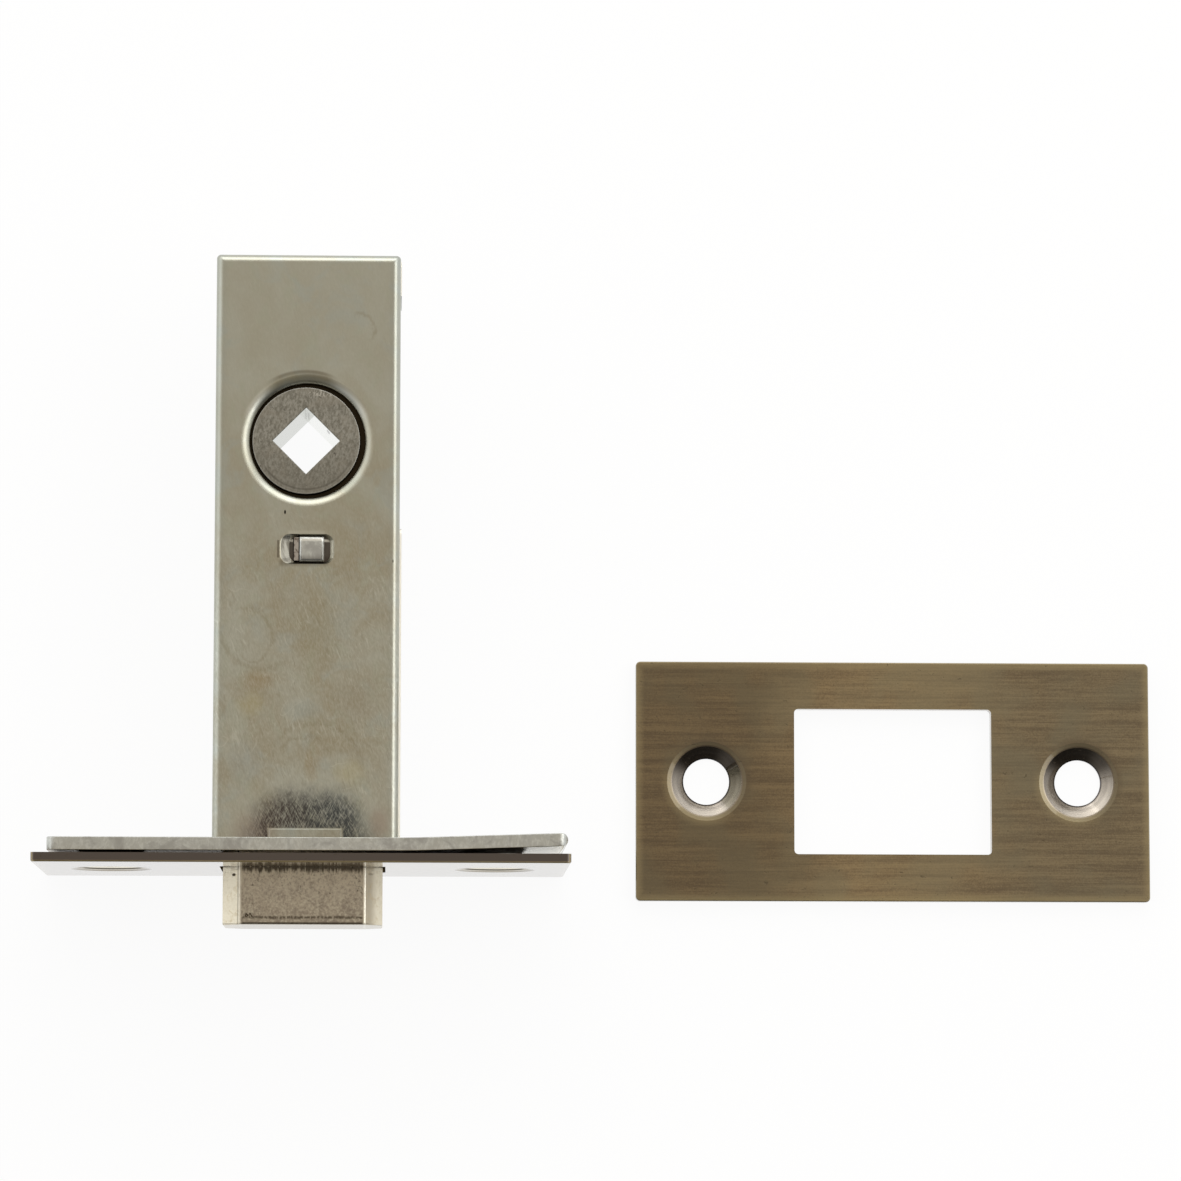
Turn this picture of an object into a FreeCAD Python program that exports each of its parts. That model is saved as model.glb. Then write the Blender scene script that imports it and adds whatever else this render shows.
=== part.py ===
import FreeCAD, Part
import math
import os
from FreeCAD import Vector

# Tubular mortice deadbolt with its strike plate, in millimetres.
# The origin is the middle of the outer forend's front face.
# X runs along the forend, Y back to the tail of the case, and Z along the spindle.
# The bolt is shown half thrown, with the square hole of the follower standing on a corner.

# Forend and strike plates
plate_length = 57.0
plate_width = 26.5
plate_corner = 0.5
plate_edge = 0.12
outer_thickness = 1.0
plate_gap = 0.3
inner_thickness = 1.4
inner_length = 55.1
inner_width = 25.0
inner_offset = 0.65
inner_corner = 1.0
lift_start = 10.6
lift_angle = 1.9
lift_radius = 60.0
strike_thickness = 1.5
strike_gap = 7.95
strike_forward = 2.65
strike_mouth_length = 21.9
strike_mouth_width = 16.1
mouth_corner = 0.45

# Screw holes
screw_spacing = 41.3
screw_hole = 5.1
countersink = 8.1
countersink_depth = 1.25
countersink_shoulder = 0.35
shoulder_depth = 0.15
dimple_wall = 0.6
dimple_land = 0.3

# Case
case_length = 63.5
case_offset = 0.25
case_width = 19.9
case_height = 12.1
sheet = 0.6
fold_radius = 0.9
case_corner = 0.45
cover_wall = 1.5
mitre_slit = 0.12
front_flap_length = 33.8
tail_flap_length = 3.8
tail_flap_setback = 0.5
front_flap_proud = 0.2
tail_flap_proud = 0.1
flap_drop = 1.15
tab_width = 7.7
tab_pad_length = 1.3
tab_pad_height = 0.14
tab_pad_edge = 0.1

# Follower
backset = 44.6
hub_offset = -0.17
square_hole = 5.1
boss_diameter = 11.6
boss_below_face = 0.45
drum_diameter = 13.2
waist_diameter = 9.2
arm_thickness = 2.2
arm_root_width = 5.0
arm_end_radius = 1.3
crank_radius = 7.8
half_turn = 45.0
pin_diameter = 1.5

# Collar pressed round each follower bore
bore_diameter = 12.5
collar_diameter = 14.0
collar_depth = 0.55
collar_lip = 0.18
collar_bulge = 0.14

# Bolt and its tail
bolt_width = 17.1
bolt_height = 10.3
bolt_chamfer = 1.85
bolt_nose_round = 0.2
bolt_shown = 6.2
bolt_head_length = 20.5
tongue_length = 8.0
tongue_width = 14.0
tongue_thickness = 2.6
tail_plate = 1.2
yoke_width = 17.2
yoke_bar = 3.5
yoke_end_bar = 2.8
yoke_corner = 1.0
slot_clearance = 0.3
rivet_diameter = 2.2
rivet_head = 3.6
rivet_head_height = 0.6
rivet_spacing = 8.0
rivet_setback = 4.0

# Guide post and detent spring
post_from_hub = 11.8
post_offset = 0.5
post_head = 2.7
post_body = 3.4
post_shoulder = 0.2
post_crown = 0.12
post_head_round = 0.35
spring_thickness = 0.5
spring_tab_width = 2.5
spring_leaf_width = 4.9
spring_bend = 1.2
spring_lean = 50.0
spring_toe = 1.3
notch_depth = 0.5
slot_left = 1.9
slot_right = 2.5
slot_width = 2.84
slot_corner = 0.9
slot_dish_left = 1.0
slot_dish_right = 0.45
slot_dish_side = 0.2
slot_dish_depth = 0.4

# Clearances
running = 0.2
close_fit = 0.05
mouth_clearance = 0.3

# Places worked out from the sizes above
inner_front = outer_thickness + plate_gap
case_front = inner_front + inner_thickness
case_end = case_front + case_length
half_width = case_width / 2
half_height = case_height / 2
face_inside = half_height - sheet
seam_z = cover_wall - half_height
hub_y = inner_front + backset
hub_x = case_offset + hub_offset
post_y = hub_y - post_from_hub
boss_half = half_height - boss_below_face
drum_half = face_inside - collar_depth - running
plate_near = tongue_thickness / 2
plate_far = plate_near + tail_plate
waist_half = plate_far + running
travel = crank_radius * math.sin(math.radians(half_turn))
bolt_back = bolt_head_length - bolt_shown
window_half = yoke_width / 2 - yoke_bar
crotch_y = post_y - post_body / 2 - travel - running / 2
window_end = hub_y + waist_diameter / 2 + travel + slot_clearance
yoke_end = window_end + yoke_end_bar
spring_x = case_offset + post_offset - post_head / 2 - close_fit - spring_thickness / 2
strike_x = plate_length + strike_gap
strike_y = plate_width / 2 - strike_forward
strike_top = strike_thickness - plate_width / 2
cone_slope = (countersink - screw_hole) / 2 / countersink_depth
dimple_end = countersink_depth + dimple_land
cut_margin = 1.0


def box(x0, x1, y0, y1, z0, z1):
    return Part.makeBox(x1 - x0, y1 - y0, z1 - z0, Vector(x0, y0, z0))


def edges_along(shape, direction):
    # the straight edges that run along one direction
    found = []
    for edge in shape.Edges:
        ends = [vertex.Point for vertex in edge.Vertexes]
        if len(ends) == 2:
            run = ends[1] - ends[0]
            if run.Length > 0 and abs(run.normalize().dot(direction)) > 0.999:
                found.append(edge)
    return found


def edges_in_plane(shape, axis, value):
    # the edges whose every point has one coordinate at the given value
    low = {"x": "XMin", "y": "YMin", "z": "ZMin"}[axis]
    high = {"x": "XMax", "y": "YMax", "z": "ZMax"}[axis]
    found = []
    for edge in shape.Edges:
        ends = [getattr(edge.BoundBox, low), getattr(edge.BoundBox, high)]
        if max(abs(end - value) for end in ends) < 0.001:
            found.append(edge)
    return found


def outline(place, start, *steps):
    # a closed face: a step of two numbers is a line, and one of four is an arc by its middle and end
    edges = []
    here = place(*start)
    for step in steps:
        there = place(*step[-2:])
        if len(step) == 2:
            edges.append(Part.makeLine(here, there))
        else:
            edges.append(Part.Arc(here, place(*step[:2]), there).toShape())
        here = there
    edges.append(Part.makeLine(here, place(*start)))
    return Part.Face(Part.Wire(edges))


def turned(face, centre, axis):
    return face.revolve(centre, axis, 360)


def rounded_outline(x0, x1, y0, y1, radius, z):
    # a rectangle with round corners, in a plane across Z
    slim = radius * (1 - math.sqrt(0.5))
    corners = [
        (x1, y1, 1, 1),
        (x0, y1, -1, 1),
        (x0, y0, -1, -1),
        (x1, y0, 1, -1),
    ]
    arcs = []
    for x, y, sx, sy in corners:
        level = Vector(x, y - sy * radius, z)
        upright = Vector(x - sx * radius, y, z)
        middle = Vector(x - sx * slim, y - sy * slim, z)
        first, last = (level, upright) if sx * sy > 0 else (upright, level)
        arcs.append(Part.Arc(first, middle, last).toShape())
    edges = []
    for number, arc in enumerate(arcs):
        following = arcs[(number + 1) % len(arcs)]
        edges.append(arc)
        edges.append(Part.makeLine(arc.Vertexes[-1].Point, following.Vertexes[0].Point))
    return Part.Wire(edges)


def rounded_prism(x0, x1, y0, y1, radius, z0, z1):
    face = Part.Face(rounded_outline(x0, x1, y0, y1, radius, z0))
    return face.extrude(Vector(0, 0, z1 - z0))


def plate_mouth(half_x, half_z, y0, y1):
    # a rectangular opening with round corners, through a plate that lies across Y
    opening = box(-half_x, half_x, y0, y1, -half_z, half_z)
    return opening.makeFillet(mouth_corner, edges_along(opening, Vector(0, 1, 0)))


def cone_radius(depth, wall):
    # radius at a depth below the face of the countersink's cone, or of a cone at some wall outside it
    return countersink / 2 + wall * math.hypot(1, cone_slope) - cone_slope * depth


def countersink_cutter(place, centre, axis, depth):
    # the tool for one countersunk hole, with its soft shoulder, measured down from the face
    hole = screw_hole / 2
    outer = countersink / 2 + countersink_shoulder
    face = outline(
        place,
        (0, -cut_margin),
        (outer, -cut_margin),
        (outer, 0),
        (cone_radius(shoulder_depth, 0), shoulder_depth),
        (hole, countersink_depth),
        (hole, depth + cut_margin),
        (0, depth + cut_margin),
    )
    return turned(face, centre, axis)


def screw_places():
    return [-screw_spacing / 2, screw_spacing / 2]


def make_outer_forend():
    half = plate_length / 2
    plate = box(-half, half, 0, outer_thickness, -plate_width / 2, plate_width / 2)
    plate = plate.makeFillet(plate_corner, edges_along(plate, Vector(0, 1, 0)))
    plate = plate.makeChamfer(plate_edge, edges_in_plane(plate, "y", 0))
    root = outer_thickness / 2
    for x in screw_places():
        place = lambda r, depth, x=x: Vector(x + r, depth, 0)
        centre = Vector(x, 0, 0)
        dimple = turned(
            outline(
                place,
                (0, root),
                (cone_radius(root, dimple_wall), root),
                (cone_radius(dimple_end, dimple_wall), dimple_end),
                (0, dimple_end),
            ),
            centre,
            Vector(0, 1, 0),
        )
        plate = plate.fuse(dimple)
        plate = plate.cut(countersink_cutter(place, centre, Vector(0, 1, 0), dimple_end))
    mouth = plate_mouth(
        bolt_width / 2 + mouth_clearance,
        bolt_height / 2 + mouth_clearance,
        -cut_margin,
        outer_thickness + cut_margin,
    )
    return plate.cut(mouth)


def make_inner_forend():
    left = inner_offset - inner_length / 2
    right = inner_offset + inner_length / 2
    front = inner_front
    back = case_front
    # past the case the right-hand end leans away from the outer plate, and it ends in a round nose
    nose = inner_thickness / 2
    lean = math.radians(lift_angle)
    inside = lift_radius - inner_thickness

    def on_bend(radius, angle):
        return (lift_start + radius * math.sin(angle), front + lift_radius - radius * math.cos(angle))

    bend_x, bend_y = on_bend(lift_radius - nose, lean)
    nose_x = right - nose
    nose_y = bend_y + (nose_x - bend_x) * math.tan(lean)

    def on_nose(angle):
        return (nose_x + nose * math.cos(lean + angle), nose_y + nose * math.sin(lean + angle))

    plate_side = lambda x, y: Vector(x, y, -inner_width / 2)
    section = outline(
        plate_side,
        (left, front),
        (lift_start, front),
        on_bend(lift_radius, lean / 2) + on_bend(lift_radius, lean),
        on_nose(-math.pi / 2),
        on_nose(0) + on_nose(math.pi / 2),
        on_bend(inside, lean),
        on_bend(inside, lean / 2) + (lift_start, back),
        (left, back),
    )
    plate = section.extrude(Vector(0, 0, inner_width))
    far = nose_y + nose + cut_margin
    before = front - cut_margin
    trim = box(left, right, before, far, -inner_width / 2, inner_width / 2)
    trim = trim.makeFillet(inner_corner, edges_along(trim, Vector(0, 1, 0)))
    plate = plate.common(trim)
    seat = cone_radius(dimple_end, dimple_wall + close_fit)
    for x in screw_places():
        place = lambda r, depth, x=x: Vector(x + r, depth, 0)
        hole = outline(
            place,
            (0, before),
            (cone_radius(before, dimple_wall + close_fit), before),
            (seat, dimple_end),
            (seat, far),
            (0, far),
        )
        plate = plate.cut(turned(hole, Vector(x, 0, 0), Vector(0, 1, 0)))
    mouth = plate_mouth(
        bolt_width / 2 + mouth_clearance,
        face_inside - close_fit,
        before,
        back + cut_margin,
    )
    half_tab = tab_width / 2 + close_fit
    half_notch = half_height + close_fit
    notches = box(
        case_offset - half_tab,
        case_offset + half_tab,
        before,
        back + cut_margin,
        -half_notch,
        half_notch,
    )
    return plate.cut(mouth).cut(notches)


def collar_ring():
    # the dished ring round the front bore, revolved about the spindle
    outer = collar_diameter / 2 + collar_lip
    bore = bore_diameter / 2
    low = half_height - collar_depth
    middle = (outer + bore) / 2
    place = lambda r, z: Vector(r, hub_y, z)
    ring = outline(
        place,
        (outer, half_height),
        (middle, half_height - collar_bulge, bore, low),
        (bore, low - sheet),
        (outer, face_inside),
    )
    return turned(ring, Vector(0, hub_y, 0), Vector(0, 0, 1)), outer


def add_collar(half):
    ring, outer = collar_ring()
    below = face_inside - sheet
    hole = Part.makeCylinder(outer, half_height + sheet - below, Vector(0, hub_y, below))
    return half.cut(hole).fuse(ring)


def slot_cutter():
    # the oblong slot of the guide post, with its dished border
    x0 = -slot_left
    x1 = slot_right
    y0 = post_y - slot_width / 2
    y1 = post_y + slot_width / 2
    floor = half_height - slot_dish_depth
    through = rounded_prism(x0, x1, y0, y1, slot_corner, face_inside - sheet, half_height)
    small = rounded_outline(x0, x1, y0, y1, slot_corner, floor)
    large = rounded_outline(
        x0 - slot_dish_left,
        x1 + slot_dish_right,
        y0 - slot_dish_side,
        y1 + slot_dish_side,
        slot_corner + slot_dish_side,
        half_height,
    )
    return through.fuse(Part.makeLoft([small, large], True))


def front_tab():
    # the tongue of sheet that goes through the inner forend and is staked level with its front
    half = tab_width / 2
    return box(-half, half, inner_front + close_fit, case_front + sheet, face_inside, half_height)


def tab_pad():
    # the thin raised pad across the root of the tongue
    half = tab_width / 2
    top = half_height + tab_pad_height
    pad = box(-half, half, case_front, case_front + tab_pad_length, face_inside, top)
    free_edges = []
    for edge in edges_in_plane(pad, "z", top):
        if edge.BoundBox.YMax > case_front + tab_pad_edge:
            free_edges.append(edge)
    return pad.makeChamfer(tab_pad_edge, free_edges)


def front_features(half):
    # what the face and the back of the case have in common
    half = add_collar(half)
    half = half.cut(slot_cutter())
    return half.fuse(front_tab()).fuse(tab_pad())


def turned_over(shape):
    return shape.mirror(Vector(0, 0, 0), Vector(0, 0, 1))


def tray(z_open, inner_floor, z_closed):
    # a tray of folded sheet, closed at z_closed and open at z_open and at the forend
    outer = box(-half_width, half_width, case_front, case_end, z_open, z_closed)
    tail_corners = []
    for edge in edges_along(outer, Vector(0, 0, 1)):
        if edge.BoundBox.YMin > case_front + sheet:
            tail_corners.append(edge)
    outer = outer.makeFillet(case_corner, tail_corners)
    folds = []
    for edge in edges_in_plane(outer, "z", z_closed):
        if edge.BoundBox.YMax > case_front + sheet:
            folds.append(edge)
    outer = outer.makeFillet(fold_radius, folds)
    inner = box(
        sheet - half_width,
        half_width - sheet,
        case_front - cut_margin,
        case_end - sheet,
        z_open - cut_margin,
        inner_floor,
    )
    return outer.cut(inner)


def mitre_slits():
    # the narrow slits where the side walls meet the tail wall
    half = mitre_slit / 2
    reach = 2 * sheet
    slits = []
    for side in (-1, 1):
        slit = box(-half, half, -reach, reach, seam_z - cut_margin, half_height - fold_radius)
        slit.rotate(Vector(0, 0, 0), Vector(0, 0, 1), -45 * side)
        slit.translate(Vector(side * half_width, case_end, 0))
        slits.append(slit)
    return slits


def flaps():
    # y range and how far each flap of the cover stands out of the right-hand side
    tail_top = case_end - tail_flap_setback
    return [
        (case_front + close_fit, case_front + front_flap_length, front_flap_proud),
        (tail_top - tail_flap_length, tail_top, tail_flap_proud),
    ]


def make_case_shell():
    low = seam_z + close_fit
    shell = tray(low, face_inside, half_height)
    for slit in mitre_slits():
        shell = shell.cut(slit)
    flap_top = half_height - flap_drop
    for y0, y1, proud in flaps():
        lap = half_width + proud - sheet - close_fit
        start = max(y0 - close_fit, case_front)
        end = y1 + close_fit
        room = box(lap, half_width + sheet, start - cut_margin, end, low - cut_margin, flap_top + close_fit)
        wall_end = min(end + sheet, case_end - sheet)
        wall = box(lap - sheet, lap, start, wall_end, low, flap_top + sheet / 2)
        shell = shell.cut(room).fuse(wall)
    return front_features(shell).removeSplitter()


def make_case_cover():
    cover = turned_over(tray(-seam_z, face_inside, half_height))
    flap_top = half_height - flap_drop
    for y0, y1, proud in flaps():
        outer = half_width + proud
        flap = box(outer - sheet, outer, y0, y1, fold_radius - half_height, flap_top)
        flap = flap.makeFillet(sheet, flap_top_corner(flap, y1))
        cover = cover.fuse(flap)
    plain = turned_over(cover)
    return turned_over(front_features(plain)).removeSplitter()


def flap_top_corner(flap, y):
    # the upper corner of a flap at its tail end, which is cut round
    corner = []
    for edge in edges_along(flap, Vector(1, 0, 0)):
        if edge.BoundBox.YMin > y - close_fit and edge.BoundBox.ZMin > 0:
            corner.append(edge)
    return corner


def make_bolt_head():
    half = bolt_width / 2
    head = box(-half, half, -bolt_shown, bolt_back, -bolt_height / 2, bolt_height / 2)
    head = head.makeChamfer(bolt_chamfer, edges_along(head, Vector(0, 1, 0)))
    head = head.makeFillet(bolt_nose_round, edges_in_plane(head, "y", -bolt_shown))
    tongue = box(
        -tongue_width / 2,
        tongue_width / 2,
        bolt_back - tongue_thickness,
        bolt_back + tongue_length,
        -plate_near,
        plate_near,
    )
    head = head.fuse(tongue)
    return cut_rivet_holes(head, -plate_near, plate_near).removeSplitter()


def rivet_places():
    return [-rivet_spacing / 2, rivet_spacing / 2]


def rivet_y():
    return bolt_back + rivet_setback


def cut_rivet_holes(shape, z0, z1):
    radius = rivet_diameter / 2 + close_fit / 2
    for x in rivet_places():
        shape = shape.cut(Part.makeCylinder(radius, z1 - z0, Vector(x, rivet_y(), z0)))
    return shape


def detent_y():
    return post_y + post_body / 2 + spring_bend + spring_rise()


def make_tail_plate():
    # the upper yoke: a window round the follower, open at the right for the drive pin
    half = yoke_width / 2
    z0 = plate_near
    z1 = plate_far
    plate = rounded_prism(-half, half, bolt_back + close_fit, yoke_end, yoke_corner, z0, z1)
    plate = plate.cut(box(-window_half, window_half, crotch_y, window_end, z0, z1))
    half_slot = pin_diameter / 2 + slot_clearance
    plate = plate.cut(box(0, half + cut_margin, hub_y - half_slot, hub_y + half_slot, z0, z1))
    for y in (detent_y() - travel, detent_y() + travel):
        notch = outline(
            lambda x, up: Vector(x, up, z0),
            (-window_half + cut_margin, y - notch_depth - cut_margin),
            (-window_half - notch_depth, y),
            (-window_half + cut_margin, y + notch_depth + cut_margin),
        )
        plate = plate.cut(notch.extrude(Vector(0, 0, tail_plate)))
    return cut_rivet_holes(plate, z0, z1)


def make_tail_rivets():
    shank = rivet_diameter / 2
    head = rivet_head / 2
    top = plate_far + rivet_head_height
    rivets = []
    for x in rivet_places():
        place = lambda r, z, x=x: Vector(x + r, rivet_y(), z)
        profile = outline(
            place,
            (0, -top),
            (head, -top),
            (head, -plate_far),
            (shank, -plate_far),
            (shank, plate_far),
            (head, plate_far),
            (head, top),
            (0, top),
        )
        rivets.append(turned(profile, Vector(x, rivet_y(), 0), Vector(0, 0, 1)))
    return Part.makeCompound(rivets)


def hub_place(r, z):
    return Vector(hub_x + r, hub_y, z)


def make_follower():
    boss = boss_diameter / 2
    drum = drum_diameter / 2
    waist = waist_diameter / 2
    centre = Vector(hub_x, hub_y, 0)
    upper = outline(
        hub_place,
        (0, 0),
        (waist, 0),
        (waist, waist_half),
        (drum, waist_half),
        (drum, drum_half),
        (boss, drum_half),
        (boss, boss_half),
        (0, boss_half),
    )
    half_hub = turned(upper, centre, Vector(0, 0, 1))
    hub = half_hub.fuse(turned_over(half_hub))
    arm = outline(
        lambda x, y: Vector(hub_x + x, hub_y + y, -arm_thickness / 2),
        (0, -arm_root_width / 2),
        (crank_radius, -arm_end_radius),
        (crank_radius + arm_end_radius, 0, crank_radius, arm_end_radius),
        (0, arm_root_width / 2),
    )
    hub = hub.fuse(arm.extrude(Vector(0, 0, arm_thickness)))
    half = square_hole / 2
    square = box(-half, half, -half, half, -boss_half - cut_margin, boss_half + cut_margin)
    square.rotate(Vector(0, 0, 0), Vector(0, 0, 1), 45)
    square.translate(centre)
    pin_hole = Part.makeCylinder(
        pin_diameter / 2 + close_fit / 2,
        arm_thickness,
        Vector(hub_x + crank_radius, hub_y, -arm_thickness / 2),
    )
    return hub.cut(square).cut(pin_hole).removeSplitter()


def make_drive_pin():
    half = waist_half - running / 2
    return Part.makeCylinder(pin_diameter / 2, 2 * half, Vector(hub_x + crank_radius, hub_y, -half))


def make_guide_post():
    half_head = post_head / 2
    half_body = post_body / 2
    x0 = post_offset - half_head
    x1 = post_offset + half_head
    inside = face_inside - close_fit
    top = half_height + post_crown
    # the shoulders close the slot round the head, and the spring strip stands in a slit of the body
    left = -slot_left - post_shoulder
    right = slot_right + post_shoulder
    body = box(left, right, post_y - half_body, post_y + half_body, -inside, inside)
    slit_x = spring_x - case_offset - spring_thickness / 2 - close_fit
    slit_y = post_y - spring_tab_width / 2 - close_fit
    slit = box(slit_x, x0, slit_y, post_y + half_body, -inside, inside)
    body = body.cut(slit)
    head = box(x0, x1, post_y - half_head, post_y + half_head, -top, top)
    for z in (-top, top):
        head = head.makeFillet(post_head_round, edges_in_plane(head, "z", z))
    return body.fuse(head).removeSplitter()


def strip_sides(start, heading, moves, thickness):
    # the two sides of a bent strip; a move is (length,) or (radius, degrees), left turns positive
    sides = []
    for side in (thickness / 2, -thickness / 2):
        x, y = start
        turn = heading
        points = [(x - side * math.sin(turn), y + side * math.cos(turn))]
        for move in moves:
            if len(move) == 1:
                x += move[0] * math.cos(turn)
                y += move[0] * math.sin(turn)
                points.append((x - side * math.sin(turn), y + side * math.cos(turn)))
                continue
            radius, degrees = move
            way = 1 if degrees > 0 else -1
            cx = x - way * radius * math.sin(turn)
            cy = y + way * radius * math.cos(turn)
            reach = radius - way * side
            stations = []
            for share in (0.5, 1.0):
                angle = turn + math.radians(degrees) * share
                stations.append((cx + way * reach * math.sin(angle), cy - way * reach * math.cos(angle)))
            points.append(stations[0] + stations[1])
            turn += math.radians(degrees)
            x = cx + way * radius * math.sin(turn)
            y = cy - way * radius * math.cos(turn)
        sides.append(points)
    return sides


def spring_run():
    # length of the straight leaf, so that the outside of its toe comes to the edge of the window
    lean = math.radians(spring_lean)
    toe_centre_reach = window_half - close_fit - spring_thickness / 2 - spring_toe
    bends = spring_bend * (1 - math.cos(lean)) - spring_toe * math.cos(lean)
    return (toe_centre_reach + spring_x - bends) / math.sin(lean)


def spring_rise():
    # how far the toe's touching point lies past the start of the first bend, less that bend's radius
    lean = math.radians(spring_lean)
    bends = (spring_bend + spring_toe) * math.sin(lean)
    return bends + spring_run() * math.cos(lean) - spring_bend


def make_detent_spring():
    half_tab = spring_tab_width / 2
    bend_y = post_y + post_body / 2
    start = (spring_x, post_y - half_tab)
    moves = [
        (bend_y - post_y + half_tab,),
        (spring_bend, spring_lean),
        (spring_run() - close_fit,),
        (spring_toe, -2 * spring_lean),
        (spring_toe,),
    ]
    left, right = strip_sides(start, math.pi / 2, moves, spring_thickness)
    steps = left[1:]
    back_steps = []
    for number in range(len(right) - 1, 0, -1):
        target = right[number - 1][-2:]
        step = right[number]
        back_steps.append(target if len(step) == 2 else step[:2] + target)
    half_leaf = spring_leaf_width / 2
    leaf = outline(
        lambda x, y: Vector(x, y, -half_leaf),
        left[0],
        *steps,
        right[-1][-2:],
        *back_steps,
    ).extrude(Vector(0, 0, 2 * half_leaf))
    x0 = spring_x - spring_thickness / 2
    tab = box(x0, x0 + spring_thickness, post_y - half_tab, post_y + half_tab, -half_height, half_height)
    return leaf.fuse(tab).removeSplitter()


def make_strike_plate():
    half_x = plate_length / 2
    half_y = plate_width / 2
    bottom = -plate_width / 2
    plate = rounded_prism(
        strike_x - half_x,
        strike_x + half_x,
        strike_y - half_y,
        strike_y + half_y,
        plate_corner,
        bottom,
        strike_top,
    )
    plate = plate.makeChamfer(plate_edge, edges_in_plane(plate, "z", strike_top))
    mouth_x = strike_mouth_length / 2
    mouth_y = strike_mouth_width / 2
    mouth = rounded_prism(
        strike_x - mouth_x,
        strike_x + mouth_x,
        strike_y - mouth_y,
        strike_y + mouth_y,
        mouth_corner,
        bottom - cut_margin,
        strike_top + cut_margin,
    )
    plate = plate.cut(mouth)
    for x in screw_places():
        place = lambda r, depth, x=x: Vector(strike_x + x + r, strike_y, strike_top - depth)
        centre = Vector(strike_x + x, strike_y, 0)
        plate = plate.cut(countersink_cutter(place, centre, Vector(0, 0, 1), strike_thickness))
    return plate


def in_case_place(shape):
    # the case is staked a little to the right of the plates' middle
    return shape.translated(Vector(case_offset, 0, 0))


def main():
    upper_plate = make_tail_plate()
    nodes = {
        "case_shell": in_case_place(make_case_shell()),
        "case_cover": in_case_place(make_case_cover()),
        "inner_forend": make_inner_forend(),
        "outer_forend": make_outer_forend(),
        "strike_plate": make_strike_plate(),
        "bolt_head": make_bolt_head(),
        "upper_tail_plate": upper_plate,
        "lower_tail_plate": turned_over(upper_plate),
        "tail_rivets": make_tail_rivets(),
        "follower": make_follower(),
        "drive_pin": make_drive_pin(),
        "guide_post": in_case_place(make_guide_post()),
        "detent_spring": make_detent_spring(),
    }
    os.makedirs("parts", exist_ok=True)
    for name, shape in nodes.items():
        shape.exportStep("parts/" + name + ".step")
        print(name, "valid", shape.isValid(), "solids", len(shape.Solids), "volume", round(shape.Volume, 2))


main()
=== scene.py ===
import math

import bpy
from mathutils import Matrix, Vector


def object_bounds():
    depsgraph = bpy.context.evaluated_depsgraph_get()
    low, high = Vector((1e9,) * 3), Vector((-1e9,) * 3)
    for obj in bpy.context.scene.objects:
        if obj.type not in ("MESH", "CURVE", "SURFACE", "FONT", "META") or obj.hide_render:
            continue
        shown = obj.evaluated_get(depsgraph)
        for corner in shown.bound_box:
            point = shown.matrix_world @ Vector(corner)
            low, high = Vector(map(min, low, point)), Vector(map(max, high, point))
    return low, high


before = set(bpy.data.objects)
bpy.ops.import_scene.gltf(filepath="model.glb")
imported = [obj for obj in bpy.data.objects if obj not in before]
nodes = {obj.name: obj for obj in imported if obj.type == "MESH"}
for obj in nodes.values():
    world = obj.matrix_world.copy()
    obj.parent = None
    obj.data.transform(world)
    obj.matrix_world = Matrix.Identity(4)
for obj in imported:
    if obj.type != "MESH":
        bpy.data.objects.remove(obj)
cadLow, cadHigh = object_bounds()
mm = 0.001
print("frame loaded:", len(nodes), "parts")


# node helpers

def hexColour(code):
    parts = [int(code[i:i + 2], 16) / 255 for i in (1, 3, 5)]
    linear = [c / 12.92 if c <= 0.04045 else ((c + 0.055) / 1.055) ** 2.4 for c in parts]
    return (*linear, 1.0)


def addNode(tree, kind, inputs=None, **settings):
    made = tree.nodes.new("ShaderNode" + kind)
    for name, value in settings.items():
        setattr(made, name, value)
    for name, value in (inputs or {}).items():
        if isinstance(value, bpy.types.NodeSocket):
            tree.links.new(value, made.inputs[name])
        else:
            made.inputs[name].default_value = value
    return made


def maths(tree, operation, first, second=0.0, clamp=False):
    return addNode(tree, "Math", {0: first, 1: second}, operation=operation, use_clamp=clamp).outputs[0]


def times(tree, first, second):
    return maths(tree, "MULTIPLY", first, second)


def strongest(tree, first, *others):
    for other in others:
        first = maths(tree, "MAXIMUM", first, other)
    return first


def inverse(tree, value):
    return maths(tree, "SUBTRACT", 1.0, value)


def sway(tree, level, reach):
    # a noise made into a shift to either side
    return times(tree, maths(tree, "SUBTRACT", level, 0.5), reach)


def fromAxis(tree, x, y):
    squares = maths(tree, "ADD", maths(tree, "POWER", x, 2.0), maths(tree, "POWER", y, 2.0))
    return maths(tree, "SQRT", squares)


def between(tree, share, first, second):
    return addNode(tree, "Mix", {0: share, 2: first, 3: second}).outputs[0]


def spread(tree, value, low, high, toLow=0.0, toHigh=1.0, smooth=True):
    return addNode(
        tree,
        "MapRange",
        {"Value": value, "From Min": low, "From Max": high, "To Min": toLow, "To Max": toHigh},
        interpolation_type="SMOOTHSTEP" if smooth else "LINEAR",
    ).outputs[0]


def blend(tree, factor, first, second, mode="MIX"):
    colours = [hexColour(c) if isinstance(c, str) else c for c in (first, second)]
    return addNode(
        tree,
        "Mix",
        {0: factor, 6: colours[0], 7: colours[1]},
        data_type="RGBA",
        blend_type=mode,
    ).outputs[2]


def objectPoint(tree):
    # a place on the object, in millimetres
    coordinates = addNode(tree, "TexCoord").outputs["Object"]
    return addNode(tree, "VectorMath", {0: coordinates, "Scale": 1 / mm}, operation="SCALE").outputs[0]


def moved(tree, point, offset=(0, 0, 0), turn=(0, 0, 0), stretch=(1, 1, 1)):
    return addNode(
        tree,
        "Mapping",
        {
            "Vector": point,
            "Location": offset,
            "Rotation": [math.radians(a) for a in turn],
            "Scale": stretch,
        },
    ).outputs[0]


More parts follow.
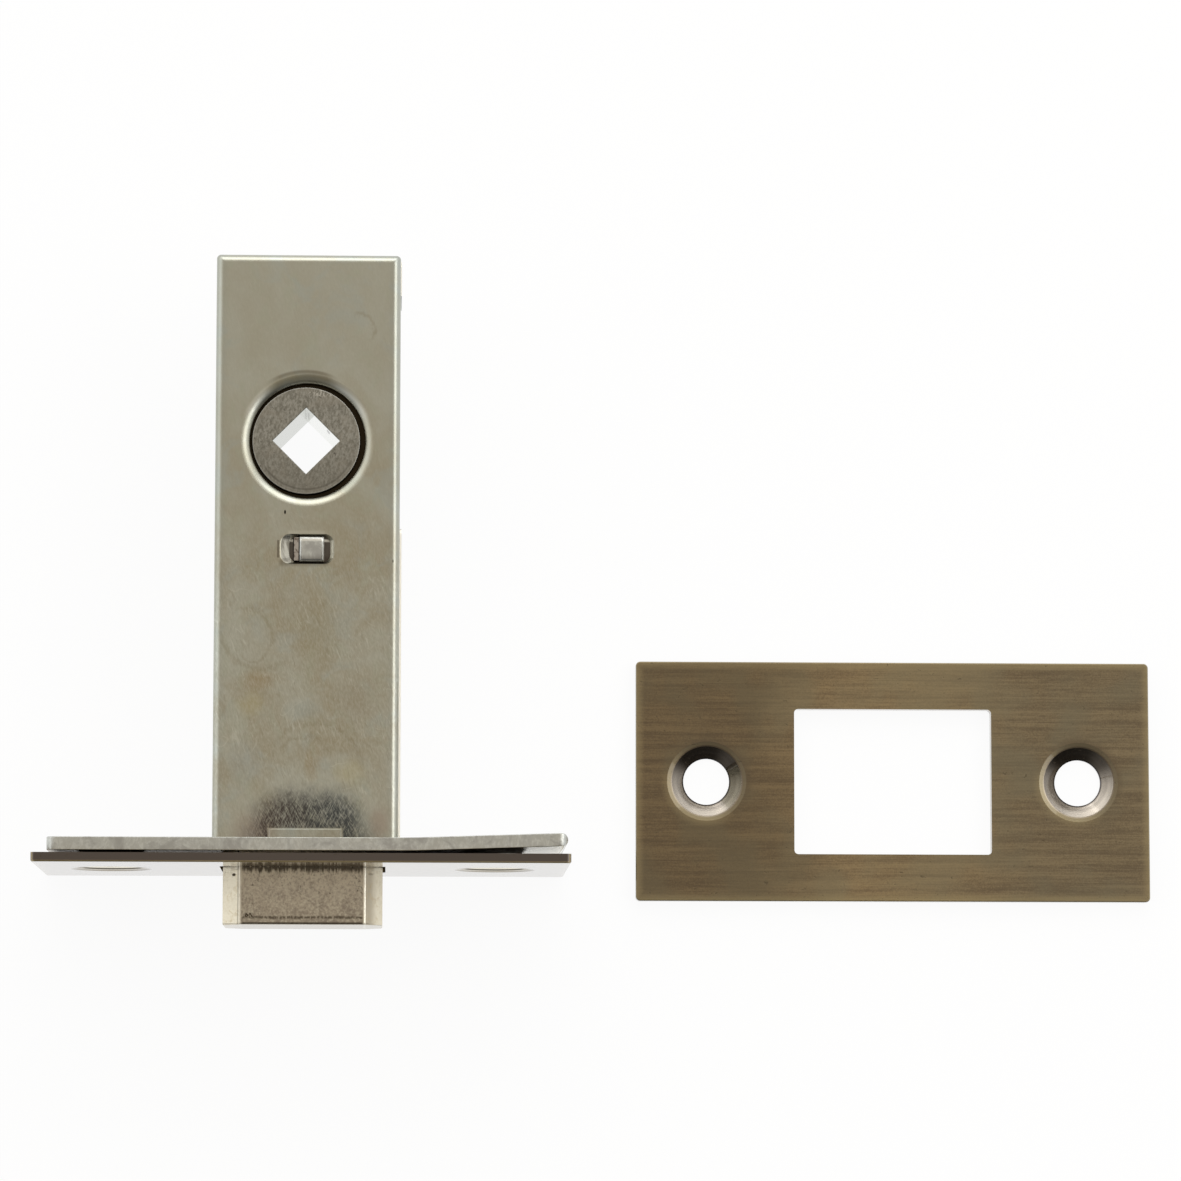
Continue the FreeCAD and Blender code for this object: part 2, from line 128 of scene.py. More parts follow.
def noise(
    tree, point, size, detail=3.0, rough=0.5, twist=0.0, stretch=(1, 1, 1), lean=0, offset=(0, 0, 0)
):
    # size is the width of a patch in millimetres, and lean turns its streaks by so many degrees
    leaned = moved(tree, point, turn=(0, 0, lean)) if lean else point
    placed = moved(tree, leaned, offset, stretch=[s / size for s in stretch])
    return addNode(
        tree,
        "TexNoise",
        {"Vector": placed, "Scale": 1.0, "Detail": detail, "Roughness": rough, "Distortion": twist},
    ).outputs[0]


def axisValues(tree, point):
    return addNode(tree, "SeparateXYZ", {0: point}).outputs


def spot(tree, point, centre, reach, soft=0.4):
    # one inside an ellipsoid about a centre, fading to nothing at its edge
    placed = moved(tree, point, [-c / r for c, r in zip(centre, reach)], stretch=[1 / r for r in reach])
    length = addNode(tree, "VectorMath", {0: placed}, operation="LENGTH").outputs["Value"]
    return spread(tree, length, 1.0, 1.0 - soft)


def newFinish(name):
    material = bpy.data.materials.new(name)
    material.use_nodes = True
    tree = material.node_tree
    shader = tree.nodes["Principled BSDF"]
    shader.inputs["Metallic"].default_value = 1.0
    return material, tree, shader


def finishSurface(tree, shader, colour, roughness, height, depth):
    # depth is how deep the bump goes, in millimetres
    tree.links.new(colour, shader.inputs["Base Color"])
    tree.links.new(roughness, shader.inputs["Roughness"])
    bump = addNode(tree, "Bump", {"Strength": 0.6, "Distance": depth * mm, "Height": height})
    tree.links.new(bump.outputs[0], shader.inputs["Normal"])


def dress(material, *names):
    for name in names:
        slots = nodes[name].data.materials
        slots.clear()
        slots.append(material)


# cloudy nickel plate of the folded case

hubCentre = (0.08, 45.9)

caseLook = {
    "plate": "#B9BBB0",
    "tan": "#A8A18C",
    "green": "#AFB3A2",
    "blue": "#AEB6B2",
    "pale": "#D9DACF",
    "side": "#A3A8A2",
    "ring": "#938A72",
    "worn": "#8F8772",
    "grime": "#15120D",
    "shadeBrown": "#4B4032",
    "deepBoreShade": "#40372A",
    "red": "#A58E7E",
    "brownRub": "#3D312E",
    "greyRub": "#383A3C",
    "collarLitEnds": "#E9EAE2",
    "collarPaintedShade": "#E4DED2",
    "collarRimShade": "#CDC8C2",
    "dishDark": "#5F5C53",
    "dishPale": "#8B8980",
    "flapTopHighlight": "#FFFDF6",
    "slotEndHighlight": "#E9E6D6",
    "roughness": 0.25,
    "face": 6.05,
}

# dried stains on the front: place, reach, colour and share
caseStains = [
    ((1.3, 25.5), (3.4, 6.4), "#9F977B", 0.5),
    ((5.7, 17.8), (3.6, 3.4), "#A29B8A", 0.5),
    ((-4.8, 19.9), (2.4, 1.6), "#A28A60", 0.5),
    ((-5.6, 17.4), (1.9, 2.0), "#B8AE84", 0.5),
    ((1.0, 11.0), (1.2, 2.7), "#A08B66", 0.6),
    ((5.1, 10.0), (2.3, 2.0), "#BEB58D", 0.5),
    ((-0.2, 16.7), (2.6, 1.5), "#A7B1AE", 0.5),
    ((-6.3, 11.0), (2.6, 3.2), "#A7AFAE", 0.4),
    ((-5.4, 23.7), (2.6, 3.0), "#B5B5A8", 0.4),
]

# dried rings on the front: centre, radius, width and the way the ring leans
caseRings = [
    ((1.2, 10.4), 5.0, 0.5, (0.35, 1.0)),
    ((0.2, 11.2), 2.7, 0.35, (0.1, 1.0)),
    ((-4.6, 25.9), 4.8, 0.5, (-0.5, -0.9)),
    ((-6.3, 24.9), 2.9, 0.35, (0.8, 0.6)),
    ((-5.4, 23.4), 1.5, 0.3, (0.1, -1.0)),
    ((5.6, 57.9), 1.8, 0.3, (0.8, 0.5)),
]

# short scratches: width, length, lean, the least level that shows and the offset of the noise
paleScratches = [
    (0.2, 1.5, -20, 0.58, (1, 7, 5)),
    (0.2, 1.1, -42, 0.64, (9, 3, 6)),
    (0.18, 1.0, 26, 0.64, (4, 8, 2)),
]
darkScratches = (0.24, 1.6, -16, 0.57, (13, 3, 5))

# the hairy rub in front of the forend: place, reach and softness of each patch
rubPatches = [
    ((0.7, 2.2), (9.0, 6.6), 0.55),
    ((2.7, 4.2), (5.4, 5.2), 0.6),
    ((0.6, 4.2), (5.4, 5.2), 0.6),
    ((-1.5, 4.2), (5.4, 5.2), 0.6),
]
redPatches = [
    ((-5.3, 3.4), (3.4, 3.4), 0.8),
    ((8.2, 4.6), (1.6, 2.6), 0.8),
]

# boxes that bound the small marks and the painted shade and highlights: lowest corner, highest corner
# and softness
tonguePad = ((-3.7, 2.0, 5.5), (4.2, 4.05, 7), 0.08)
rubbedSeam = ((4.4, 2.0, 5.9), (8.2, 2.9, 6.4), 0.2)
slotPlaces = {
    "slotDish": ((-3.0, 32.7, 5.55), (-1.6, 35.5, 6.0), 0.04),
    "dishEdgeShade": ((-2.9, 33.2, 5.5), (-2.78, 35.0, 6.15), 0.1),
    "flapTopHighlight": ((9.75, 2.0, 4.6), (10.6, 67, 5.0), 0.05),
    "shadeBelowSlot": ((-2.4, 32.55, 5.8), (2.3, 32.75, 6.3), 0.5),
    "litLipAboveSlot": ((-1.6, 35.75, 5.9), (2.0, 35.9, 6.3), 0.35),
    "slotEndHighlight": ((2.45, 33.2, 5.4), (3.0, 35.0, 6.1), 0.12),
    "shadeInSlot": ((-1.75, 32.6, 3.5), (2.1, 34.9, 5.4), 0.12),
}


def ridges(tree, point, size, width, twist, offset, rough):
    # thin curved lines, where a soft noise passes its middle
    level = noise(tree, point, size, 2, rough, twist, offset=offset)
    fromMiddle = maths(tree, "ABSOLUTE", maths(tree, "SUBTRACT", level, 0.5))
    return spread(tree, fromMiddle, width, width * 0.3)


def boxMask(tree, axes, low, high, soft):
    # one inside a box in millimetres, with soft sides
    inside = None
    for value, least, most in zip(axes, low, high):
        middle = (least + most) / 2
        away = maths(tree, "ABSOLUTE", maths(tree, "SUBTRACT", value, middle))
        half = (most - least) / 2
        side = spread(tree, away, half + soft, half)
        inside = side if inside is None else times(tree, inside, side)
    return inside


def scratches(tree, point, width, length, lean, least, offset):
    # short fine scratches that all lean one way
    level = noise(tree, point, width, 2, 0.6, 0.15, (1, width / length, 1), lean, offset)
    return spread(tree, level, least, least + 0.1)


def driedRing(tree, flat, wobble, centre, radius, width, way):
    # part of a ring left by a drop, strongest on one side
    fromCentre = addNode(
        tree, "VectorMath", {0: flat, 1: (*centre, 0)}, operation="SUBTRACT"
    ).outputs[0]
    length = addNode(tree, "VectorMath", {0: fromCentre}, operation="LENGTH").outputs["Value"]
    along = addNode(
        tree, "VectorMath", {0: fromCentre, 1: (*way, 0)}, operation="DOT_PRODUCT"
    ).outputs["Value"]
    away = maths(tree, "ABSOLUTE", maths(tree, "SUBTRACT", maths(tree, "ADD", length, wobble), radius))
    line = spread(tree, away, width, width * 0.1)
    return times(tree, line, spread(tree, along, radius * 0.1, radius * 0.7))


def patchOnFace(tree, point, place, reach, soft):
    return spot(tree, point, (*place, caseLook["face"]), (*reach, 1.5), soft)


def cloudedPlate(tree, point, y):
    # soft clouds, more tan towards the forend, over a little green
    clouds = noise(tree, point, 6.5, 5, 0.6, 0.6, (1, 0.75, 1), -20, (2, 5, 9))
    veil = noise(tree, point, 2.2, 5, 0.65, 0.9, (1, 0.6, 1), -18, (31, 4, 7))
    towardForend = spread(tree, y, 62, 26, 0.35, 1.0)
    tanAmount = times(tree, spread(tree, clouds, 0.32, 0.68), towardForend)
    tanAmount = maths(tree, "ADD", times(tree, tanAmount, 0.85), times(tree, veil, 0.3))
    colour = blend(tree, tanAmount, caseLook["plate"], caseLook["tan"])
    colour = blend(tree, spread(tree, veil, 0.48, 0.68, 0, 0.45), colour, caseLook["green"])
    mist = noise(tree, point, 4.0, 4, 0.6, 0.8, offset=(17, 2, 3))
    colour = blend(tree, spread(tree, mist, 0.5, 0.68, 0, 0.4), colour, caseLook["blue"])
    return colour, clouds, veil


def stainedFront(tree, colour, x, y, z, veil):
    # stains and dried rings, on the front only
    front = spread(tree, z, 5.9, 6.1)
    wobble = sway(tree, veil, 2.4)
    wobbly = addNode(tree, "CombineXYZ", {0: maths(tree, "ADD", x, wobble), 1: y, 2: 0.0}).outputs[0]
    for place, reach, stain, share in caseStains:
        amount = spot(tree, wobbly, (*place, 0), (*reach, 1), 0.8)
        colour = blend(tree, times(tree, times(tree, amount, front), share), colour, stain)
    flat = addNode(tree, "CombineXYZ", {0: x, 1: y, 2: 0.0}).outputs[0]
    smallWobble = times(tree, wobble, 0.85)
    for ring in caseRings:
        amount = times(tree, driedRing(tree, flat, smallWobble, *ring), front)
        colour = blend(tree, times(tree, amount, 0.4), colour, caseLook["ring"])
    fromMiddle = maths(tree, "ABSOLUTE", maths(tree, "SUBTRACT", x, 0.2))
    return blend(tree, spread(tree, fromMiddle, 8.5, 9.3, 0, 0.26), colour, caseLook["side"])


def scratchedPlate(tree, colour, point, y):
    # fine grain, and short scratches that thicken towards the forend
    grain = noise(tree, point, 0.16, 3, 0.65, stretch=(1, 0.3, 1), lean=-14)
    lowerPart = spread(tree, y, 44, 22, 0.2, 1.0)
    grainShare = times(tree, spread(tree, grain, 0.38, 0.66), spread(tree, lowerPart, 0, 1, 0.06, 0.22))
    colour = blend(tree, grainShare, colour, caseLook["pale"])
    patches = noise(tree, point, 3.2, 3, 0.6, offset=(5, 5, 1))
    scratchPlace = times(tree, spread(tree, patches, 0.38, 0.62, 0.15, 1.0), lowerPart)
    paleScratch = strongest(tree, *[scratches(tree, point, *row) for row in paleScratches])
    darkScratch = scratches(tree, point, *darkScratches)
    scratched = times(tree, paleScratch, scratchPlace)
    colour = blend(tree, times(tree, scratched, 0.34), colour, caseLook["pale"])
    worn = times(tree, times(tree, darkScratch, scratchPlace), 0.3)
    colour = blend(tree, worn, colour, caseLook["worn"])
    # a few long curled hair lines
    hairs = ridges(tree, point, 6.5, 0.007, 0.9, (9, 3, 6), 0.3)
    hairPlace = spread(tree, noise(tree, point, 3.0, 2, 0.5, offset=(5, 9, 4)), 0.54, 0.64)
    hairAmount = times(tree, times(tree, hairs, hairPlace), lowerPart)
    colour = blend(tree, times(tree, hairAmount, 0.25), colour, caseLook["pale"])
    return colour, grain, scratched


def rubbedFront(tree, colour, point, axes):
    # the hairy black rub in front of the forend, with reddish ends, beside the bare pad of the tongue
    x, y, z = axes
    pad = boxMask(tree, axes, *tonguePad)
    ragged = maths(tree, "ADD", y, sway(tree, noise(tree, point, 1.0, 4, 0.65), 2.2))
    raggedPoint = addNode(tree, "CombineXYZ", {0: x, 1: ragged, 2: z}).outputs[0]
    rub = strongest(tree, *[patchOnFace(tree, raggedPoint, *row) for row in rubPatches])
    red = strongest(tree, *[patchOnFace(tree, raggedPoint, *row) for row in redPatches])
    colour = blend(tree, times(tree, red, 0.45), colour, caseLook["red"])
    leftFibres = noise(tree, point, 0.13, 2, 0.6, 0.1, (1, 0.17, 1), 24, (3, 3, 3))
    rightFibres = noise(tree, point, 0.13, 2, 0.6, 0.1, (1, 0.17, 1), -30, (6, 1, 3))
    leftFibres, rightFibres = [spread(tree, level, 0.42, 0.68) for level in (leftFibres, rightFibres)]
    fibres = maths(tree, "ADD", leftFibres, rightFibres)
    streakedDark = maths(tree, "SUBTRACT", 1.06, times(tree, fibres, 0.42), clamp=True)
    rub = strongest(tree, rub, boxMask(tree, axes, *rubbedSeam))
    rub = times(tree, times(tree, rub, streakedDark), inverse(tree, times(tree, pad, 0.85)))
    rubColour = blend(tree, spread(tree, x, -3, 3), caseLook["brownRub"], caseLook["greyRub"])
    return blend(tree, times(tree, rub, 0.92), colour, rubColour), rub


def collarMarks(tree, colour, x, y, z):
    # painted highlight at the ends of the dished collar above the hub, painted shade in its middle and
    # along its rim, and the place of its bore
    flat = addNode(tree, "CombineXYZ", {0: x, 1: y}).outputs[0]
    fromHub = addNode(
        tree, "VectorMath", {0: flat, 1: (*hubCentre, 0)}, operation="DISTANCE"
    ).outputs["Value"]
    aside = maths(tree, "ABSOLUTE", maths(tree, "ADD", x, 0.4))
    aboveHub = spread(tree, y, 47.5, 49.5)
    band = times(tree, spread(tree, fromHub, 7.4, 7.0), spread(tree, fromHub, 6.3, 6.5))
    band = times(tree, band, aboveHub)
    # painted highlight at both ends of the collar
    litEnds = times(tree, band, spread(tree, aside, 2.8, 4.8, 0, 0.4))
    colour = blend(tree, litEnds, colour, caseLook["collarLitEnds"])
    # painted shade in the middle of the collar
    shade = times(tree, band, spread(tree, aside, 4.2, 2.4))
    colour = blend(tree, shade, colour, caseLook["collarPaintedShade"], "MULTIPLY")
    # painted shade along the rim of the collar
    rim = times(tree, spread(tree, fromHub, 7.75, 7.5), spread(tree, fromHub, 7.1, 7.4))
    rim = times(tree, times(tree, rim, aboveHub), spread(tree, aside, 4.2, 2.0))
    colour = blend(tree, rim, colour, caseLook["collarRimShade"], "MULTIPLY")
    inBore = times(tree, spread(tree, fromHub, 6.4, 6.3), spread(tree, z, 5.75, 5.3))
    return colour, inBore


def slotMarks(tree, colour, point, axes, inBore):
    # painted shade on the dish left of the slot, which has scored lines, along the dish's edge, below
    # the slot and in it; a painted highlight along the top of the flap, on the lip above the slot and
    # at its right end; and painted shade in the bore
    places = {name: boxMask(tree, axes, *place) for name, place in slotPlaces.items()}
    ribs = noise(tree, point, 0.35, 2, 0.5, stretch=(1, 0.2, 1), lean=-16)
    dishColour = blend(tree, spread(tree, ribs, 0.35, 0.65), caseLook["dishDark"], caseLook["dishPale"])
    # painted shade on the dish and along its edge
    colour = blend(tree, places["slotDish"], colour, dishColour)
    colour = blend(tree, times(tree, places["dishEdgeShade"], 0.6), colour, caseLook["shadeBrown"])
    # painted highlight along the top of the flap
    colour = blend(tree, places["flapTopHighlight"], colour, caseLook["flapTopHighlight"])
    # painted shade below the slot and a painted highlight on the lip above it
    colour = blend(tree, times(tree, places["shadeBelowSlot"], 0.4), colour, caseLook["shadeBrown"])
    colour = blend(tree, times(tree, places["litLipAboveSlot"], 0.3), colour, caseLook["pale"])
    # painted highlight at the right end of the slot
    colour = blend(tree, places["slotEndHighlight"], colour, caseLook["slotEndHighlight"])
    # painted shade in the bore of the collar, darker deeper down
    boreShade = blend(tree, spread(tree, axes[2], 5.0, 5.4), caseLook["deepBoreShade"], caseLook["shadeBrown"])
    colour = blend(tree, inBore, colour, boreShade)
    # painted shade inside the slot
    colour = blend(tree, times(tree, places["shadeInSlot"], 0.75), colour, caseLook["shadeBrown"])
    return colour, places["flapTopHighlight"]


def makeCaseFinish():
    material, tree, shader = newFinish("cloudyNickel")
    point = objectPoint(tree)
    axes = axisValues(tree, point)
    x, y, z = axes
    colour, clouds, veil = cloudedPlate(tree, point, y)
    colour = stainedFront(tree, colour, x, y, z, veil)
    colour, grain, scratched = scratchedPlate(tree, colour, point, y)
    colour, rub = rubbedFront(tree, colour, point, axes)
    colour, inBore = collarMarks(tree, colour, x, y, z)
    colour, flapTopHighlight = slotMarks(tree, colour, point, axes, inBore)
    sideNick = spot(tree, point, (9.5, 32.84, 6.0), (0.1, 0.22, 0.5))
    faceNick = spot(tree, point, (-2.13, 38.08, 6.05), (0.12, 0.28, 0.5))
    nicks = strongest(tree, faceNick, times(tree, sideNick, 0.6))
    colour = blend(tree, nicks, colour, caseLook["grime"])
    roughness = maths(tree, "ADD", caseLook["roughness"], times(tree, veil, 0.1))
    roughness = maths(tree, "ADD", roughness, times(tree, rub, 0.2))
    roughness = maths(tree, "ADD", roughness, times(tree, flapTopHighlight, 0.45))
    height = maths(tree, "ADD", times(tree, grain, 0.4), times(tree, clouds, 2.0))
    height = maths(tree, "ADD", height, times(tree, scratched, 0.5))
    finishSurface(tree, shader, colour, roughness, height, 0.008)
    return material


dress(makeCaseFinish(), "case_shell", "case_cover")
print("case finished")


# lacquered antique brass of the outer forend and the strike plate

brassLook = {
    "dark": "#776447",
    "endTone": "#CDCAC6",
    "greyed": "#DEE3EC",
    "light": "#9E8963",
    "green": "#8B8062",
    "edge": "#A89870",
    "rim": "#524943",
    "shade": "#5E4F39",
    "land": "#857B62",
    "cone": "#BAB0A2",
    "brassHighlight": "#F2EDDD",
    "coneShade": "#544A3D",
    "turned": "#6F665B",
    "bore": "#3B332D",
    "pitAndShade": "#403621",
    "roughness": 0.32,
}

# both plates have this half length, half width and distance from the middle to a screw hole
plateSize = (28.5, 13.25)
holeAside = 20.65


def brushedBrass(tree, local):
    # brushing along the plate: hair lines, short streaks and broad bands over worn patches
    lines = noise(tree, local, 0.13, 2, 0.6, stretch=(0.02, 1, 1))
    streaks = noise(tree, local, 0.22, 3, 0.75, stretch=(0.12, 1, 1), offset=(3, 9, 4))
    bands = noise(tree, local, 0.9, 3, 0.6, stretch=(0.04, 1, 1), offset=(7, 1, 9))
    patches = noise(tree, local, 10, 3, 0.55, 0.6, offset=(11, 2, 5))
    grit = noise(tree, local, 0.16, 2, 0.7, offset=(2, 2, 2))
    tone = times(tree, lines, 0.2)
    for layer, share in ((streaks, 0.16), (bands, 0.32), (patches, 0.06), (grit, 0.26)):
        tone = maths(tree, "ADD", tone, times(tree, layer, share))
    colour = blend(tree, spread(tree, tone, 0.39, 0.61), brassLook["dark"], brassLook["light"])
    greenAmount = spread(tree, noise(tree, local, 7, 2, 0.5, offset=(1, 1, 8)), 0.42, 0.62, 0, 0.55)
    colour = blend(tree, greenAmount, colour, brassLook["green"])
    return colour, lines, streaks, patches


def endsAndEdges(tree, colour, alongPlate, overPlate, streaks, patches):
    # the ends are darker, browner on the left and greyer on the right, and the edges are lighter
    wandering = maths(tree, "ADD", alongPlate, sway(tree, patches, 14))
    colour = blend(tree, spread(tree, wandering, -4, -17), colour, brassLook["endTone"], "MULTIPLY")
    colour = blend(tree, spread(tree, wandering, 2, 17), colour, brassLook["greyed"], "MULTIPLY")
    fromEnd = maths(tree, "SUBTRACT", plateSize[0], maths(tree, "ABSOLUTE", alongPlate))
    fromSide = maths(tree, "SUBTRACT", plateSize[1], maths(tree, "ABSOLUTE", overPlate))
    fromEdge = maths(tree, "MINIMUM", fromEnd, fromSide)
    raggedEdge = maths(tree, "ADD", fromEdge, sway(tree, streaks, 0.8))
    return blend(tree, spread(tree, raggedEdge, 1.1, 0.1, 0, 0.45), colour, brassLook["edge"]), fromEdge


def screwLands(tree, colour, alongPlate, overPlate):
    # the land round each countersink has a painted highlight at its lower left and painted shade at its
    # upper right
    holes = []
    for side in (-1, 1):
        offset = maths(tree, "SUBTRACT", alongPlate, side * holeAside)
        holes.append(fromAxis(tree, offset, overPlate))
        ring = spread(tree, holes[-1], 5.3, 4.3)
        leaning = maths(tree, "ADD", times(tree, offset, 0.6), times(tree, overPlate, 0.8))
        paintedHighlight = times(tree, ring, spread(tree, leaning, -0.5, -3.5, 0, 0.35))
        shadedSide = times(tree, ring, spread(tree, leaning, -1.0, 3.0, 0, 0.5))
        colour = blend(tree, paintedHighlight, colour, brassLook["edge"])
        colour = blend(tree, shadedSide, colour, brassLook["shade"])
    return colour, maths(tree, "MINIMUM", *holes)


def turnedCone(tree, fromHole, overPlate, fromFace, onForend):
    # the cone is turned, with painted shade above and a painted highlight below
    turning = addNode(tree, "CombineXYZ", {0: times(tree, fromHole, 3.0), 1: overPlate}).outputs[0]
    turned = noise(tree, turning, 0.9, 3, 0.6, stretch=(1, 0.12, 1), offset=(6, 2, 1))
    colour = blend(tree, spread(tree, overPlate, 2.8, -2.6), brassLook["coneShade"], brassLook["cone"])
    colour = blend(tree, spread(tree, turned, 0.4, 0.62, 0, 0.35), colour, brassLook["turned"])
    if onForend:
        # a line of painted shade just inside the lip, below which the cone is painted pale as a painted
        # highlight
        below = spread(tree, overPlate, -1.5, -2.5)
        colour = blend(tree, below, colour, brassLook["brassHighlight"])
        lipShade = times(tree, spread(tree, fromFace, 0.13, 0.2), spread(tree, fromFace, 0.34, 0.26))
        colour = blend(tree, times(tree, lipShade, below), colour, brassLook["pitAndShade"])
    return colour


def makeBrassFinish(name, centre, across, faceAt, depthSign, onForend=False):
    # across is the axis over the plate's width, and depthSign says which way is into the plate
    material, tree, shader = newFinish(name)
    point = objectPoint(tree)
    local = moved(tree, point, [-c for c in centre])
    values = axisValues(tree, local)
    alongPlate, overPlate, through = values[0], values[across], values[3 - across]
    colour, lines, streaks, patches = brushedBrass(tree, local)
    colour, fromEdge = endsAndEdges(tree, colour, alongPlate, overPlate, streaks, patches)
    fromFace = times(tree, maths(tree, "SUBTRACT", through, faceAt), depthSign)
    colour, fromHole = screwLands(tree, colour, alongPlate, overPlate)
    coneAmount = times(tree, spread(tree, fromHole, 4.08, 3.95), spread(tree, fromFace, 0.05, 0.2))
    landAmount = times(tree, spread(tree, fromHole, 4.45, 4.3), spread(tree, fromHole, 3.95, 4.05))
    colour = blend(tree, times(tree, landAmount, 0.5), colour, brassLook["land"])
    if onForend:
        # the back is painted bright where the inner plate is lifted away from it, a painted reflection
        liftedEnd = boxMask(tree, values, (23.5, 0.9, -12.3), (28.0, 1.1, 12.3), 0.1)
        colour = blend(tree, liftedEnd, colour, brassLook["brassHighlight"])
    coneColour = turnedCone(tree, fromHole, overPlate, fromFace, onForend)
    colour = blend(tree, coneAmount, colour, coneColour)
    bore = times(tree, spread(tree, fromHole, 2.75, 2.62), spread(tree, fromFace, 0.2, 0.4))
    colour = blend(tree, bore, colour, brassLook["bore"])
    rimAmount = times(tree, spread(tree, fromFace, 0.12, 0.2), spread(tree, fromEdge, 0.1, 0.05))
    colour = blend(tree, rimAmount, colour, brassLook["rim"])
    pits = noise(tree, local, 0.42, 3, 0.5, 0.8, stretch=(0.7, 1, 1), offset=(1, 8, 2))
    pitAmount = spread(tree, pits, 0.66, 0.74)
    pitShare = times(tree, inverse(tree, coneAmount), 0.55)
    colour = blend(tree, times(tree, pitAmount, pitShare), colour, brassLook["pitAndShade"])
    roughness = maths(tree, "ADD", brassLook["roughness"], times(tree, lines, 0.1))
    roughness = maths(tree, "SUBTRACT", roughness, times(tree, coneAmount, 0.14))
    shader.inputs["Coat Weight"].default_value = 1.0
    shader.inputs["Coat Roughness"].default_value = 0.06
    height = maths(tree, "SUBTRACT", lines, times(tree, pitAmount, 2.0))
    finishSurface(tree, shader, colour, roughness, height, 0.007)
    return material


dress(makeBrassFinish("strikeBrass", (64.95, 10.6, 0), 1, -11.75, -1), "strike_plate")
dress(makeBrassFinish("forendBrass", (0, 0, 0), 2, 0, 1, onForend=True), "outer_forend")
print("brass plates finished")


# dull zinc of the inner forend, with smooth faces and torn cut edges, and of the small parts

zincLook = {
    "base": "#BDBEB8",
    "dark": "#A09E98",
    "face": "#B5B6B0",
    "pale": "#D6D8D3",
    "shadeBrown": "#4A4139",
    "pressed": "#A8977F",
    "paintedHighlight": "#F4F3EA",
    "roughness": (0.32, 0.48),
    "faceRoughness": 0.16,
}


def forendFaces(tree, colour, roughness, x, facing, broad):
    # the broad faces are smooth, and the one against the outer plate is painted brown, a painted shade
    # for the gap between the plates
    colour = blend(tree, times(tree, broad, 0.55), colour, zincLook["face"])
    roughness = between(tree, broad, roughness, zincLook["faceRoughness"])
    hidden = spread(tree, facing, -0.5, -0.9, 0, 0.9)
    sideways = spread(tree, x, -2, 14)
    gapShade = blend(tree, sideways, zincLook["pressed"], zincLook["shadeBrown"])
    colour = blend(tree, hidden, colour, gapShade)
    # apart from the lifted end, which is painted bright, a painted reflection
    liftedEnd = spread(tree, x, 23.4, 23.6)
    colour = blend(tree, times(tree, hidden, liftedEnd), colour, zincLook["paintedHighlight"])
    rougher = times(tree, times(tree, hidden, sideways), inverse(tree, liftedEnd))
    return colour, maths(tree, "ADD", roughness, times(tree, rougher, 0.3))


def postHead(tree, colour, point, tears):
    # painted shade round the neck of the post, below the level of the case
    y, z = axisValues(tree, point)[1:3]
    neckShade = maths(tree, "ADD", maths(tree, "ABSOLUTE", z), sway(tree, tears, 0.3))
    colour = blend(tree, spread(tree, neckShade, 5.78, 5.6, 0, 0.9), colour, zincLook["shadeBrown"])
    # painted highlight along the upper edge of the head and painted shade along its lower one
    paintedHighlight = times(tree, spread(tree, y, 34.85, 35.05), spread(tree, y, 35.3, 35.12))
    colour = blend(tree, times(tree, paintedHighlight, 0.7), colour, zincLook["paintedHighlight"])
    return blend(tree, spread(tree, y, 33.65, 33.0, 0, 0.5), colour, zincLook["shadeBrown"])


def makeZincFinish(name, forend=False, post=False):
    material, tree, shader = newFinish(name)
    point = objectPoint(tree)
    tears = noise(tree, point, 0.3, 4, 0.65, 0.5, stretch=(0.8, 0.45, 0.2))
    patches = noise(tree, point, 2.6, 4, 0.6, 0.8)
    colour = blend(tree, spread(tree, tears, 0.42, 0.68, 0, 0.7), zincLook["base"], zincLook["pale"])
    colour = blend(tree, spread(tree, patches, 0.46, 0.66, 0, 0.8), colour, zincLook["dark"])
    roughness = spread(tree, patches, 0.3, 0.7, *zincLook["roughness"])
    height = tears
    if forend:
        facing = axisValues(tree, addNode(tree, "TexCoord").outputs["Normal"])[1]
        broad = spread(tree, maths(tree, "ABSOLUTE", facing), 0.5, 0.9)
        x = axisValues(tree, point)[0]
        colour, roughness = forendFaces(tree, colour, roughness, x, facing, broad)
        height = times(tree, tears, inverse(tree, broad))
    if post:
        colour = postHead(tree, colour, point, tears)
    finishSurface(tree, shader, colour, roughness, height, 0.03)
    return material


dress(makeZincFinish("zincForend", forend=True), "inner_forend")
dress(makeZincFinish("zincPost", post=True), "guide_post")
dress(makeZincFinish("zincSmallParts"), "upper_tail_plate", "lower_tail_plate", "tail_rivets")
print("zinc parts finished")


# pitted antique casting of the bolt

boltLook = {
    "base": "#B4AA99",
    "dark": "#968C81",
    "pale": "#D3CCB9",
    "bevelHighlight": "#EAE2CC",
    "bevelHighlightShaded": "#AEA38E",
    "lit": "#DED4C0",
    "end": "#CDC6B6",
    "endGrain": "#A0978A",
    "stain": "#C4B28C",
    "line": "#FBF6E6",
    "mouthGlint": "#FFF3D6",
    "pitAndShade": "#4A4235",
    "streakedDark": "#2E2516",
    "roughness": (0.29, 0.42),
    "endRoughness": 0.2,
    "edgeAt": 6.64,
}


